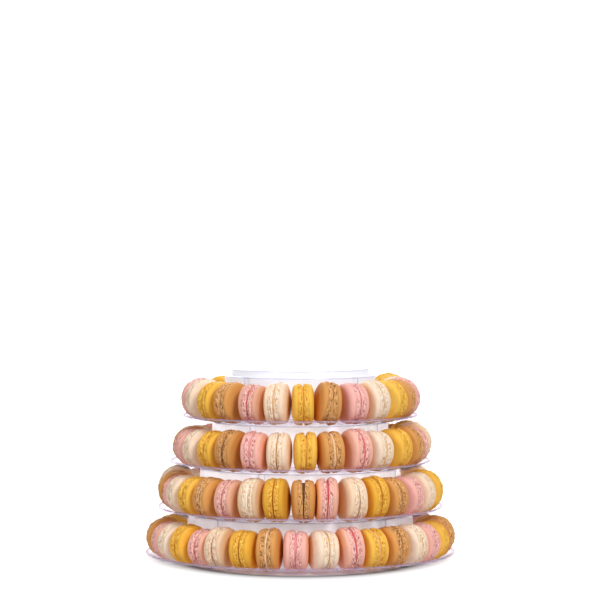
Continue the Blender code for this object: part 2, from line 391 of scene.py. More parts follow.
# -------- macarons
def shell_rings(macaron, seam):
    """(count, radius, along, foot) of a shell's rings from its inner face on, and its dome's top."""
    radius = macaron.radius
    rings = [
        (DOME_SEGMENTS, radius * INNER_PART, seam, 1.0),
        (FOOT_SEGMENTS, radius - FOOT_ROUND, seam, 1.0),
    ]
    for step in range(FOOT_STEPS):
        part = (step + 0.5) / FOOT_STEPS
        turn_in = FOOT_ROUND * max(0.0, 1.0 - part / FOOT_ROUND_PART) ** 2
        off_crease = (part - CREASE_PLACE) / CREASE_WIDTH
        crease = (DOME_BACK + CREASE_DEPTH) * math.exp(-off_crease ** 2)
        rings.append((FOOT_SEGMENTS, radius - turn_in - crease, seam + part * FOOT_DEPTH, 1.0))
    skirt = seam + FOOT_DEPTH
    radius -= DOME_BACK
    top = macaron.half - DOME_CUT
    for step in range(DOME_STEPS):
        turn = 0.5 * math.pi * (step / DOME_STEPS) ** DOME_SPACING
        out = radius * math.cos(turn) ** (2.0 / DOME_POWER)
        rise = math.sin(turn) ** (2.0 / DOME_POWER)
        count, foot = (DOME_SEGMENTS, 0.0) if step else (FOOT_SEGMENTS, DOME_EDGE)
        rings.append((count, out, skirt + (top - skirt) * rise, foot))
    return rings, top


def placed(local, macaron, tier, wedge, slip=0.0):
    """Local points (third axis along the macaron's axis) in their place, and how far each lies
    from the planes between this macaron and its neighbours.

    Each half is tipped by half the wedge and raised by the slip.  A point that would cross into
    a neighbour's space is pressed back to the plane between the two.
    """
    tip = -np.sign(local[:, 2]) * wedge / 2
    down = local[:, 1]
    along = local[:, 2] + down * np.sin(tip)
    local = np.stack([local[:, 0], down * np.cos(tip), along], axis=1)
    upright = Matrix.Rotation(-math.pi / 2.0, 3, "X")
    spin = np.array(macaron.turn @ upright)
    points = local @ spin.T
    points[:, 0] += macaron.out
    reach = np.hypot(points[:, 0], points[:, 1])
    angle = np.arctan2(points[:, 1], points[:, 0])
    angle = np.clip(angle, -macaron.behind, macaron.ahead)
    apart = np.minimum(angle + macaron.behind, macaron.ahead - angle) * reach
    angle += macaron.angle - math.pi / 2.0
    height = points[:, 2] + SHEET + tier * TIER_PITCH + FIT_GAP + macaron.lift + slip
    return np.stack([reach * np.cos(angle), reach * np.sin(angle), height], axis=1), apart


def add_shell(surface, macaron, tier, side, seam, wedge, slip, draw, tint):
    """One half of a macaron: its rough foot and its smooth dome."""
    rings, top = shell_rings(macaron, seam)
    counts = [ring[0] for ring in rings]
    turn = turns_of(counts)
    radius, along, foot = [np.repeat(values, counts) for values in list(zip(*rings))[1:]]
    rough = (foot == 1.0) & (radius > macaron.radius * ROUGH_PART)
    level = (along - seam) / FOOT_DEPTH
    # The outline is a little out of round; the lowest point stays on the floor.
    wave = np.zeros(len(turn))
    down = 0.0
    for waves, size in WOBBLES:
        phase = draw.uniform(0.0, math.tau)
        amount = size * draw.uniform(*WOBBLE_SPREAD)
        wave += amount * np.cos(waves * turn + phase)
        down += amount * math.cos(waves * math.pi / 2 + phase)
    radius = radius * (1.0 + wave - down)
    # Ruffles and pits of the foot
    ruffle = np.zeros(len(turn))
    for waves in RUFFLE_WAVES:
        phase = draw.uniform(0.0, math.tau)
        slant = draw.uniform(-RUFFLE_SLANT, RUFFLE_SLANT)
        ruffle += np.cos(waves * turn + phase + slant * along) / RUFFLE_SCALE
    pit = np.zeros(len(turn))
    for number in range(PITS):
        place = draw.uniform(0.0, math.tau)
        row = seam + FOOT_DEPTH * (PIT_ROWS[number % len(PIT_ROWS)] + draw.gauss(0.0, PIT_SCATTER))
        wide = draw.uniform(*PIT_WIDTHS)
        tall = draw.uniform(*PIT_HEIGHTS)
        aside = (np.mod(turn - place + math.pi, math.tau) - math.pi) * macaron.radius / wide
        pit = np.maximum(pit, np.exp(-aside ** 2 - ((along - row) / tall) ** 2))
    radius = radius + np.where(rough, RUFFLE_SIZE * ruffle - PIT_DEPTH * pit, 0.0)
    # The dome's edge is wavy, and its top is a little uneven.
    along = along + np.where(foot == DOME_EDGE, EDGE_WAVE * ruffle, 0.0)
    x, y = radius * np.cos(turn), radius * np.sin(turn)
    phases = [draw.uniform(0.0, math.tau) for _ in range(3)]
    swell = np.sin(x * SWELL_RATES[0] + phases[0]) * np.sin(y * SWELL_RATES[1] + phases[1])
    swell = swell * np.sin(phases[2])
    along = along + np.where(foot == 0.0, SWELL_SIZE * swell, 0.0)
    # Last come the middle of the inner face and the dome's top.
    local = np.stack([x, y, along * side], axis=1)
    ends = np.array([[0.0, 0.0, seam * side], [0.0, 0.0, top * side]])
    local = np.concatenate([local, ends])
    faces = turned_faces(counts)
    if side < 0:
        faces = [rows[:, ::-1] for rows in faces]
    shift = np.array([draw.uniform(-GRAIN_SHIFT, GRAIN_SHIFT) for _ in range(3)])
    points, apart = placed(local, macaron, tier, wedge, slip)
    surface.add(points, faces, {
        "grain": local + shift,
        "apart": apart,
        "foot": np.append(foot, [1.0, 0.0]),
        "level": np.append(level, [0.0, TOP_LEVEL]),
        "pit": np.append(np.where(rough, pit, 0.0), [0.0, 0.0]),
        "tint": np.full(len(local), tint),
        "reach": np.append(np.hypot(x, y) / macaron.radius, [0.0, 0.0]),
    })


def add_filling(surface, macaron, tier, seam, wedge, draw, tint):
    """The disc of filling between a macaron's halves."""
    out = macaron.radius - FOOT_ROUND - draw.uniform(*RECESSES[macaron.filling])
    half = seam - FILLING_GAP
    upper = [
        (FILLING_CORE * out, half),
        (out - FILLING_CORNER, half),
        (out + FILLING_BULGE, FILLING_FLAT * half),
    ]
    profile = upper + [(wide, -along) for wide, along in upper[::-1]]
    counts = [FILLING_SEGMENTS] * len(profile)
    turn = turns_of(counts)
    radius, along = [np.repeat(values, counts) for values in zip(*profile)]
    uneven = np.zeros(len(turn))
    for waves in FILLING_WAVES:
        uneven += np.cos(waves * turn + draw.uniform(0.0, math.tau)) * FILLING_WAVE
    radius = radius + uneven
    local = np.stack([radius * np.cos(turn), radius * np.sin(turn), along], axis=1)
    local = np.concatenate([local, [[0.0, 0.0, half], [0.0, 0.0, -half]]])
    shift = np.array([draw.uniform(-GRAIN_SHIFT, GRAIN_SHIFT) for _ in range(3)])
    faces = [rows[:, ::-1] for rows in turned_faces(counts)]
    points, _ = placed(local, macaron, tier, wedge)
    surface.add(points, faces, {
        "grain": local + shift,
        "tint": np.full(len(local), tint),
    })


def add_macarons(tier, macarons, materials):
    """The pieces of one tier: shells of each colour and fillings of each kind."""
    draw = random.Random(DETAILS_SEED + tier)
    shells, fillings, standing = {}, {}, {}
    names = []
    for number, size in enumerate(group_sizes(tier, len(macarons))):
        names += [f"macarons_{tier + 1}_{number + 1:02d}"] * size
    for macaron, name in zip(macarons, names):
        seam = draw.uniform(*SEAMS[macaron.gape])
        wedge = math.radians(WEDGES[macaron.gape] + draw.uniform(-WEDGE_JITTER, WEDGE_JITTER))
        tint = macaron.batch / LAST_BATCH + draw.uniform(-BATCH_JITTER, BATCH_JITTER)
        shell = shells.setdefault(macaron.colour, Surface())
        raised = draw.choice((1, -1))
        slip = draw.uniform(0.0, SLIP)
        for side in (1, -1):
            lift = slip if side == raised else 0.0
            add_shell(shell, macaron, tier, side, seam, wedge, lift, draw, tint)
        kind = FILLING_NAMES[macaron.filling]
        filling = fillings.setdefault(kind, Surface())
        add_filling(filling, macaron, tier, seam, wedge, draw, tint)
        standing.setdefault(macaron.colour, []).append(name)
        standing.setdefault(kind, []).append(name)
    for colour, surface in sorted(shells.items()):
        slot = f"{COLOUR_NAMES[colour]}_shell"
        finish_piece(surface.build(f"{slot}s_{tier + 1}", materials[slot]), standing[colour])
    for kind, surface in sorted(fillings.items()):
        slot = f"{kind}_filling"
        finish_piece(surface.build(f"{slot}s_{tier + 1}", materials[slot]), standing[kind])


def finish_piece(piece, nodes):
    """The piece rides on the only body and stands for these nodes."""
    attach(piece, "root")
    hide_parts(*sorted(set(nodes)))


# -------- trays
PLUG_MIDDLE = 0.02     # radius of the first point of the section
CORNER_CUTS = (0.0014, 0.0006, 0.0014, 0.0025, 0.0045, 0.0045, 0.0008, 0.0009)
CORNER_STEPS = 4
MOST_CUT = 0.45        # of a side, by one rounded corner
LEAST_MITRE = 0.5      # limits how far a sharp corner moves
RIDGE_HEIGHT = 0.0022  # between two pockets of the trough
RIDGE_WIDTH = 0.0026
RIDGE_END = 0.0005     # a ridge ends this far from the column's lower end
RIDGE_FADE = 0.004
SCALLOP = 0.0006       # how far the trough's wall comes in between two pockets
SCALLOP_OUT = 0.006    # where it starts, outside the ring's radius
SCALLOP_FADE = 0.006
SCALLOP_DROP = 0.0010  # how far below the rim it starts
SCALLOP_RISE = 0.0030
RIB_DEPTH = 0.0009
RIB_HALF = 0.0028      # half width
RIB_FLANK = 0.0006
RIB_ANGLES = (46.0, 68.0, 58.0, 46.0)  # degrees: the first rib of each tray
RIBS = 4               # evenly spaced
RIB_START = 0.6        # its lower end, as a part of FOOT_HEIGHT
RIB_STOP = 0.0006      # from its upper end to the column's shoulder
RIB_REACH = 0.004      # how far outside the column's lower end it may lie
FLANK_LINE = 0.5       # how dark the painted lines along a rib are
RIM_FADE = 0.0006      # over which the material changes
LIP_IN = 0.0001        # points closer than this to the rim's edge are on its lip
LIP_TOP = 0.0007       # from the rim to the lip's painted highlight
BACKLIT_EDGE = 0.0040     # how far outside the column's lower end the part painted as lit from behind ends
BACKLIT_FADE = 0.0030
TRAY_GLOW = (0.24, 0.42, 0.38, 0.14)  # painted light: how much each tray's plastic glows, in place of the light that it passes on from behind
MM = 0.001
RIDGE_SAMPLES = (-5.2, -3.0, -1.5, 0.0, 1.5, 3.0, 5.2)  # mm from the middle of a ridge
RIB_SAMPLES = (-4.2, -3.4, -3.1, -2.8, -2.5, -2.2, 0.0, 2.2, 2.5, 2.8, 3.1, 3.4, 4.2)
CLOSEST_COLUMN = 0.00025       # least distance between two sections
# Corners of the tray's section painted as a line, and how dark it is: plug, shoulder and lip. The
# lines are painted refraction at the plastic's bends.
EDGE_LINES = {1: 0.5, 3: 0.5, 8: 1.0}


def ramp(values, start, length):
    """0 up to the start, then rising to 1 over the length."""
    return np.clip((values - start) / length, 0.0, 1.0)


def rounded(points, cuts):
    """A chain of points whose inner corners are rounded, from this far before to after each.

    The second list says how near the middle of each corner its points lie, from 0 to 1.
    """
    chain = [Vector(points[0])]
    corners = [(0, 0.0)]
    for index in range(1, len(points) - 1):
        corner = Vector(points[index])
        back = Vector(points[index - 1]) - corner
        on = Vector(points[index + 1]) - corner
        cut = min(cuts[index - 1], MOST_CUT * back.length, MOST_CUT * on.length)
        start = corner + back.normalized() * cut
        end = corner + on.normalized() * cut
        for step in range(CORNER_STEPS + 1):
            part = step / CORNER_STEPS
            chain.append((1 - part) ** 2 * start + 2 * part * (1 - part) * corner + part ** 2 * end)
            corners.append((index, math.sin(math.pi * part)))
    chain.append(Vector(points[-1]))
    corners.append((len(points) - 1, 0.0))
    return chain, corners


def tray_chain(ring_radius):
    """The tray's upper surface, from the plug's top to the rim: radius and height from the rim."""
    slope = (FOOT_HEIGHT + FLOOR_DEPTH) / (FOOT_IN - FLOOR_IN)
    flank = -FLOOR_DEPTH + (PLUG_IN - FLOOR_IN) * slope
    plug_top = TIER_PITCH + flank - SHEET * math.hypot(1.0, slope) - FIT_GAP
    plug_radius = ring_radius - RING_STEP - PLUG_IN
    shoulder = TIER_PITCH - FLOOR_DEPTH - SHEET - FIT_GAP
    points = [
        (PLUG_MIDDLE, plug_top),
        (plug_radius, plug_top),
        (plug_radius + PLUG_DRAFT, shoulder),
        (ring_radius - COLUMN_IN, shoulder),
        (ring_radius - FOOT_IN, FOOT_HEIGHT),
        (ring_radius - FLOOR_IN, -FLOOR_DEPTH),
        (ring_radius + FLOOR_OUT, -FLOOR_DEPTH),
        (ring_radius + WALL_OUT, 0.0),
        (ring_radius + RIM_OUT, 0.0),
        (ring_radius + RIM_OUT, -LIP_DROP),
    ]
    return rounded(points, CORNER_CUTS)


def offset_chain(points, distance):
    """The chain moved to its right by the distance, with mitred corners."""
    points = np.array(points)
    along = points[1:] - points[:-1]
    along /= np.linalg.norm(along, axis=1)[:, None]
    right = np.stack([along[:, 1], -along[:, 0]], axis=1)
    before = np.concatenate([right[:1], right])
    after = np.concatenate([right, right[-1:]])
    mitre = before + after
    mitre /= np.linalg.norm(mitre, axis=1)[:, None]
    reach = distance / np.maximum(LEAST_MITRE, np.sum(mitre * before, axis=1))
    return points + mitre * reach[:, None]


def tray_columns(tier, macarons, ring_radius):
    """The angles of the tray's sections, ridges and ribs."""
    ridges = [macaron.angle + macaron.ahead for macaron in macarons]
    ribs = [math.radians(RIB_ANGLES[tier] + 360.0 * rib / RIBS) for rib in range(RIBS)]
    angles = []
    for ridge in ridges:
        angles += [ridge + mm * MM / ring_radius for mm in RIDGE_SAMPLES]
    column_radius = ring_radius - COLUMN_IN
    for rib in ribs:
        angles += [rib + mm * MM / column_radius for mm in RIB_SAMPLES]
    angles = sorted(angle % math.tau for angle in angles)
    kept = [angles[0]]
    for angle in angles[1:]:
        if (angle - kept[-1]) * ring_radius > CLOSEST_COLUMN:
            kept.append(angle)
    return np.array(kept), np.array(ridges), np.array(ribs)


def from_nearest(angle, marks):
    """Signed angle from the nearest mark."""
    apart = np.mod(angle - marks + math.pi, math.tau) - math.pi
    return apart[np.argmin(np.abs(apart))]


def add_tray(tier, macarons, material):
    """One clear tray: its section turned round the axis, with ridges, scallops and ribs."""
    ring_radius = BOTTOM_RING_RADIUS - tier * RING_STEP
    rim_height = FLOOR_DEPTH + SHEET + tier * TIER_PITCH
    chain, corners = tray_chain(ring_radius)
    radius = np.array([point.x for point in chain])
    height = np.array([point.y for point in chain])
    angles, ridges, ribs = tray_columns(tier, macarons, ring_radius)
    # How much each point of the section follows a ridge, a scallop and a rib
    low = ramp(-height, 0.0, FLOOR_DEPTH) * (radius > ring_radius - FOOT_IN + RIDGE_END)
    inner = ramp(radius, ring_radius - FLOOR_IN - RIDGE_FADE, RIDGE_FADE)
    outer = ramp(radius, ring_radius + SCALLOP_OUT, SCALLOP_FADE)
    below = ramp(-height, SCALLOP_DROP, SCALLOP_RISE) * (radius < ring_radius + WALL_OUT)
    column_top = TIER_PITCH - FLOOR_DEPTH - SHEET - RIB_STOP
    column = (height > FOOT_HEIGHT * RIB_START) & (height < column_top)
    column &= radius < ring_radius - FOOT_IN + RIB_REACH
    # For the material: 1 on the rim and 2 low on its lip, 1 on the column and plug, which are painted
    # white and glowing as if lit from behind, and the painted dark lines
    on_rim = ramp(radius, ring_radius + WALL_OUT - RIM_FADE, RIM_FADE)
    on_rim += (radius > ring_radius + RIM_OUT - LIP_IN) * ramp(-height, LIP_TOP, RIM_FADE)
    backlit = ramp(-radius, -(ring_radius - FOOT_IN + BACKLIT_EDGE), BACKLIT_FADE)
    line = np.array([EDGE_LINES.get(number, 0.0) * part for number, part in corners])
    rings = []
    lines = []
    for angle in angles:
        ridge = math.exp(-(from_nearest(angle, ridges) * ring_radius / RIDGE_WIDTH) ** 2)
        rib_off = abs(from_nearest(angle, ribs)) * (ring_radius - COLUMN_IN)
        rib = min(1.0, max(0.0, (RIB_HALF + RIB_FLANK - rib_off) / RIB_FLANK))
        flank = math.exp(-((rib_off - RIB_HALF - RIB_FLANK / 2) / (RIB_FLANK / 2)) ** 2)
        drawn = np.maximum(line, FLANK_LINE * flank * column)
        lines.append(np.concatenate([drawn, drawn[::-1]]))
        r = radius - SCALLOP * ridge * outer * below - RIB_DEPTH * rib * column
        z = height + RIDGE_HEIGHT * ridge * low * inner
        top = np.stack([r, z], axis=1)
        under = offset_chain(top, SHEET)
        under[-1] = (top[-1][0] - SHEET, top[-1][1])
        section = np.concatenate([top, under[::-1]])
        x = section[:, 0] * math.sin(angle)
        y = -section[:, 0] * math.cos(angle)
        rings.append(np.stack([x, y, section[:, 1] + rim_height], axis=1))
    points = np.stack(rings, axis=1)  # section point, column, xyz
    section_count, column_count = points.shape[:2]
    plug_top = rim_height + height[0]
    ends = [[0.0, 0.0, plug_top], [0.0, 0.0, plug_top - SHEET]]
    flat = np.concatenate([points.reshape(-1, 3), ends])
    surface = Surface()
    faces = [rows[:, ::-1] for rows in turned_faces([column_count] * section_count)]
    backlit, on_rim = [
        np.append(np.repeat(np.concatenate([part, part[::-1]]), column_count), [part[0]] * 2)
        for part in (backlit, on_rim)
    ]
    surface.add(flat, faces, {
        "backlit": backlit,
        "rim": on_rim,
        "line": np.append(np.stack(lines, axis=1).ravel(), [0.0, 0.0]),
        "glow": np.full(len(flat), TRAY_GLOW[tier]),
    })
    piece = surface.build(f"tray_shell_{tier + 1}", material)
    finish_piece(piece, [f"tray_{tier + 1}"])


# -------- materials
def linear(screen):
    """Linear colour of an 8-bit screen colour."""
    parts = [value / 255.0 for value in screen]
    parts = [part / 12.92 if part <= 0.04045 else ((part + 0.055) / 1.055) ** 2.4 for part in parts]
    return parts + [1.0]


def toned(colour, tone):
    """The linear colour with each of its three parts multiplied by one of the tone's."""
    return [part * share for part, share in zip(colour[:3], tone)] + [1.0]


class Look:
    """A Principled material and short ways to add nodes to it."""

    def __init__(self, name):
        self.material = bpy.data.materials.new(name)
        self.material.use_nodes = True
        self.nodes = self.material.node_tree.nodes
        self.links = self.material.node_tree.links
        self.shader = self.nodes["Principled BSDF"]

    def put(self, socket, value):
        """Links another socket to this one, or sets its value."""
        if isinstance(value, bpy.types.NodeSocket):
            self.links.new(value, socket)
        elif value is not None:
            socket.default_value = value

    def set(self, name, value):
        self.put(self.shader.inputs[name], value)

    def node(self, kind, values=None):
        """A new node, with these values or links in its named or numbered inputs."""
        node = self.nodes.new(f"ShaderNode{kind}")
        for key, value in (values or {}).items():
            self.put(node.inputs[key], value)
        return node

    def attribute(self, name, output="Fac"):
        node = self.node("Attribute")
        node.attribute_name = name
        return node.outputs[output]

    def noise(self, vector, scale, detail, roughness=0.5):
        values = {"Vector": vector, "Scale": scale, "Detail": detail, "Roughness": roughness}
        return self.node("TexNoise", values).outputs["Fac"]

    def stretch(self, vector, scale):
        return self.node("Mapping", {"Vector": vector, "Scale": scale}).outputs["Vector"]

    def spread(self, value, low, high, to_low=0.0, to_high=1.0):
        """A ramp from to_low at low to to_high at high, and level beyond them."""
        ends = {"From Min": low, "From Max": high, "To Min": to_low, "To Max": to_high}
        return self.node("MapRange", {"Value": value, **ends}).outputs["Result"]

    def math(self, operation, first, second):
        node = self.node("Math", {0: first, 1: second})
        node.operation = operation
        return node.outputs[0]

    def mix(self, factor, first, second):
        """Colours mixed; the colours' own sockets of the node are 6, 7 and 2."""
        node = self.node("Mix")
        node.data_type = "RGBA"
        for number, value in ((0, factor), (6, first), (7, second)):
            self.put(node.inputs[number], value)
        return node.outputs[2]

    def bump(self, height, distance, strength, normal=None):
        values = {"Strength": strength, "Distance": distance, "Height": height, "Normal": normal}
        return self.node("Bump", values).outputs["Normal"]


# For each colour: dome, dome of another batch, foot, painted highlight of the foot's frills, and
# painted shade of its pits, specks, hollows and crease
SHELL_COLOURS = {
    "pink": ((240, 180, 149), (237, 174, 169), (243, 181, 169), (254, 224, 216), (176, 52, 70)),
    "cream": ((239, 200, 163), (244, 222, 201), (246, 221, 191), (255, 244, 228), (206, 148, 90)),
    "yellow": ((238, 176, 64), (244, 195, 92), (240, 179, 64), (254, 218, 118), (194, 108, 12)),
    "brown": ((221, 157, 88), (204, 139, 74), (217, 153, 90), (244, 201, 148), (98, 48, 20)),
}
MOTTLE_TONE = (0.84, 0.84, 0.84)
BATCH_AND_SHADE_TONE = (0.72, 0.67, 0.61)  # of the lowest batches: partly a darker tone, partly painted shade on macarons that lie in shade, such as the middle of the second tier
CONTACT_SHADE_TONE = (0.98, 0.76, 0.38)  # painted warm shade where two macarons nearly touch
SHELL_GLOSS = 0.07
SKIN_BUMP = (0.00010, 0.6)  # depth and strength
FOOT_BUMP = (0.0006, 0.9)
# Noises: scale in waves a metre, detail and roughness
MOTTLE_NOISE = (170.0, 3.0)
SKIN_NOISE = (1100.0, 3.0)
FRILL_NOISE = (400.0, 3.0, 0.6)
SPECK_SCALE = 460.0
SPECK_PATCH_NOISE = (230.0, 1.0)
FOOT_STRETCH = (1.0, 1.0, 3.6)  # the foot's grain is finer along the macaron's axis
# Ramps: from, to, and what they give there
MOTTLE_RAMP = (0.35, 0.7, 0.0, 0.35)
BATCH_AND_SHADE_RAMP = (0.22, 0.0, 0.0, 1.0)  # over the batch's tint; the lowest batches get the darker tone, which is partly painted shade
OUTER_RAMP = (0.80, 1.0, 0.0, 0.45)  # over the distance from the middle; the outline is 1
CONTACT_SHADE_RAMP = (0.0002, 0.0038, 1.0, 0.0)  # over the distance from a neighbour; paints the warm shade near it
# painted highlight on the frills' raised parts, and painted shade in their hollows
FRILL_HIGHLIGHT_RAMP = (0.48, 0.66, 0.0, 0.9)
FRILL_SHADE_RAMP = (0.47, 0.35, 0.0, 0.36)
SPECK_RAMP = (0.34, 0.20)
SPECK_PATCH_RAMP = (0.50, 0.60)
# painted shade in the specks and pits
SPECK_SHADE_SHARE = 0.85
PIT_SHADE_RAMP = (0.34, 0.82, 0.0, 0.95)
CREASE_SHADE_START = (0.80, 0.90)  # over the level, up to the crease and down behind it: painted shade in the crease
CREASE_SHADE_STOP = (1.02, 0.94)
CREASE_SHADE_SHARE = 0.16
FOOT_RAMP = (0.3, 0.9)
ROUGHNESS_RAMP = (0.2, 0.9, 0.45, 0.7)


def shell_look(colour):
    """A shell: a smooth mottled dome and a rough foot that is full of pits."""
    dome, other, foot, light, dark = [linear(screen) for screen in SHELL_COLOURS[colour]]
    look = Look(f"{colour}_shell")
    look.set("Specular IOR Level", SHELL_GLOSS)
    grain = look.attribute("grain", "Vector")
    names = ("foot", "level", "pit", "tint", "reach", "apart")
    foot_part, level, pit, tint, reach, apart = [look.attribute(name) for name in names]
    base = look.mix(tint, dome, other)
    mottle = look.spread(look.noise(grain, *MOTTLE_NOISE), *MOTTLE_RAMP)
    base = look.mix(mottle, base, toned(dome, MOTTLE_TONE))
    # Darker for the lowest batches: partly a darker tone, partly painted shade
    base = look.mix(look.spread(tint, *BATCH_AND_SHADE_RAMP), base, toned(dome, BATCH_AND_SHADE_TONE))
    base = look.mix(look.spread(reach, *OUTER_RAMP), base, look.mix(0.5, dome, foot))
    # Painted shade: warmer and darker where a neighbour comes close
    base = look.mix(look.spread(apart, *CONTACT_SHADE_RAMP), base, toned(dome, CONTACT_SHADE_TONE))
    # The foot has painted light and shade: lighter on its raised frills, and dark in its hollows, its
    # specks, its pits and its crease.
    flat_grain = look.stretch(grain, FOOT_STRETCH)
    frill = look.noise(flat_grain, *FRILL_NOISE)
    frill_highlight = look.spread(frill, *FRILL_HIGHLIGHT_RAMP)
    foot_colour = look.mix(frill_highlight, look.mix(0.5, foot, base), light)
    foot_colour = look.mix(look.spread(frill, *FRILL_SHADE_RAMP), foot_colour, dark)
    specks = look.node("TexVoronoi", {"Vector": flat_grain, "Scale": SPECK_SCALE})
    speck = look.spread(specks.outputs["Distance"], *SPECK_RAMP)
    patch = look.spread(look.noise(flat_grain, *SPECK_PATCH_NOISE), *SPECK_PATCH_RAMP)
    speck = look.math("MULTIPLY", speck, patch)
    speck_shade = look.math("MULTIPLY", speck, SPECK_SHADE_SHARE)
    # Painted shade in the pits and specks
    pits = look.math("MAXIMUM", look.spread(pit, *PIT_SHADE_RAMP), speck_shade)
    foot_colour = look.mix(pits, foot_colour, dark)
    # Painted shade in the crease under the dome's edge
    crease = look.math("MULTIPLY", look.spread(level, *CREASE_SHADE_START), look.spread(level, *CREASE_SHADE_STOP))
    foot_colour = look.mix(look.math("MULTIPLY", crease, CREASE_SHADE_SHARE), foot_colour, dark)
    look.set("Base Color", look.mix(look.spread(foot_part, *FOOT_RAMP), base, foot_colour))
    look.set("Roughness", look.spread(foot_part, *ROUGHNESS_RAMP))
    rough_height = look.math("MULTIPLY", look.math("SUBTRACT", frill, speck), foot_part)
    normal = look.bump(look.noise(grain, *SKIN_NOISE), *SKIN_BUMP)
    look.set("Normal", look.bump(rough_height, *FOOT_BUMP, normal))
    return look.material


# For each kind: two colours and the roughness. The dark first colours of caramel and chocolate are
# partly the filling's own colour, partly painted shade in the seam between the halves.
FILLING_COLOURS = {
    "raspberry": ((216, 96, 102), (236, 154, 160), 0.4),
    "cream": ((247, 229, 204), (226, 176, 110), 0.45),
    "caramel": ((188, 108, 20), (236, 184, 92), 0.4),
    "chocolate": ((104, 62, 36), (232, 214, 190), 0.45),
}
FILLING_GLOSS = 0.1
FILLING_PATCH_NOISE = (300.0, 2.0)
FILLING_GRAIN_NOISE = (700.0, 3.0)
FILLING_TINT_RAMP = (0.42, 0.58)
FILLING_PATCH_RAMP = (0.3, 0.7, -0.15, 0.15)
FILLING_BUMP = (0.0003, 0.8)  # depth and strength


def filling_look(kind):
    """A filling between its two colours, by the macaron's batch and in soft patches."""
    first, second, roughness = FILLING_COLOURS[kind]
    look = Look(f"{kind}_filling")
    look.set("Roughness", roughness)
    look.set("Specular IOR Level", FILLING_GLOSS)
    grain = look.attribute("grain", "Vector")
    tint = look.spread(look.attribute("tint"), *FILLING_TINT_RAMP)
    patch = look.spread(look.noise(grain, *FILLING_PATCH_NOISE), *FILLING_PATCH_RAMP)
    look.set("Base Color", look.mix(look.math("ADD", tint, patch), linear(first), linear(second)))
    look.set("Normal", look.bump(look.noise(grain, *FILLING_GRAIN_NOISE), *FILLING_BUMP))
    return look.material


# The tray's trough, its column and plug (painted white, as if lit from behind), its rim, and the lower
# part of its lip, where a highlight is painted
TRAY_COLOURS = ((228, 218, 232), (239, 239, 244), (208, 196, 218), (242, 238, 248))
LINE_COLOURS = ((176, 170, 210), (140, 100, 128))  # painted lines at the column's edges, and along the lip, where the mauve paints the macarons seen through the plastic
CLEAR_TINTS = ((0.985, 0.970, 0.982, 1.0), (0.90, 0.82, 0.87, 1.0))  # elsewhere and on the rim
GLOW_COLOUR = (250, 252, 252)
TRAY_ROUGHNESS = 0.12
TRAY_IOR = 1.5
EDGE_BLEND = 0.3
EDGE_RAMP = (0.6, 1.0, 0.0, 0.03)  # a little more solid where it is seen edge on
# Ramps over the rim value, which is 1 on the rim and 2 low on its lip, where a highlight is painted
LIP_HIGHLIGHT_RAMP = (1.2, 1.8)
RIM_SOLID = (0.0, 1.0, 0.0, 0.24)
# Ramps over the value that is 1 on the column and plug, which are painted white and glowing as if lit
# from behind
BACKLIT_GLOW = (0.0, 1.0, 0.15, 1.0)
BACKLIT_SOLID = (0.0, 1.0, 0.01, 0.72)
# Ramps over the line value, which is 1 in the darkest lines
LINE_RAMP = (0.0, 0.45)
MAUVE_RAMP = (0.5, 0.9)
LINE_GLOW = (0.0, 0.5, 1.0, 0.3)
LINE_SOLID = (0.0, 1.0, 0.0, 0.8)


def tray_look():
    """Clear plastic: a tinted part that shows what is behind, and a glossy pale part, with painted
    glow on its column and plug and painted lines and highlight at its edges.
    """
    look = Look("clear_tray")
    look.set("Roughness", TRAY_ROUGHNESS)
    backlit, rim, line, glow = [look.attribute(name) for name in ("backlit", "rim", "line", "glow")]
    haze, white, lilac, bright = [linear(screen) for screen in TRAY_COLOURS]
    pale, mauve = [linear(screen) for screen in LINE_COLOURS]
    on_rim = look.spread(rim, 0.0, 1.0)
    base = look.mix(on_rim, look.mix(backlit, haze, white), lilac)
    # Painted highlight low on the lip
    base = look.mix(look.spread(rim, *LIP_HIGHLIGHT_RAMP), base, bright)
    # Painted lines of refraction at the plastic's bends, mauve along the lip
    line_colour = look.mix(look.spread(line, *MAUVE_RAMP), pale, mauve)
    look.set("Base Color", look.mix(look.spread(line, *LINE_RAMP), base, line_colour))
    look.set("IOR", TRAY_IOR)
    # Painted light: the column and plug glow, and the lines less
    look.set("Emission Color", linear(GLOW_COLOUR))
    glow = look.math("MULTIPLY", glow, look.spread(backlit, *BACKLIT_GLOW))
    look.set("Emission Strength", look.math("MULTIPLY", glow, look.spread(line, *LINE_GLOW)))
    facing = look.node("LayerWeight", {"Blend": EDGE_BLEND})
    edge = look.spread(facing.outputs["Facing"], *EDGE_RAMP)
    solid = look.math("MAXIMUM", look.spread(backlit, *BACKLIT_SOLID), look.spread(rim, *RIM_SOLID))
    solid = look.math("MAXIMUM", solid, look.spread(line, *LINE_SOLID))
    solid = look.math("ADD", solid, edge)
    clear = look.node("BsdfTransparent", {"Color": look.mix(on_rim, *CLEAR_TINTS)}).outputs["BSDF"]
    both = look.node("MixShader", {"Fac": solid, 1: clear, 2: look.shader.outputs["BSDF"]})
    look.put(look.nodes["Material Output"].inputs["Surface"], both.outputs["Shader"])
    return look.material


# -------- stage, lights and camera
FLOOR_HALF = 8.0
FLOOR_DROP = 0.0002  # keeps it out of the plane of the tray
FLOOR_STRETCH = (1.27, 1.0, 1.0)  # the soft shade is narrower from side to side
FLOOR_ROUGHNESS = 0.9
FLOOR_GLOSS = 0.1
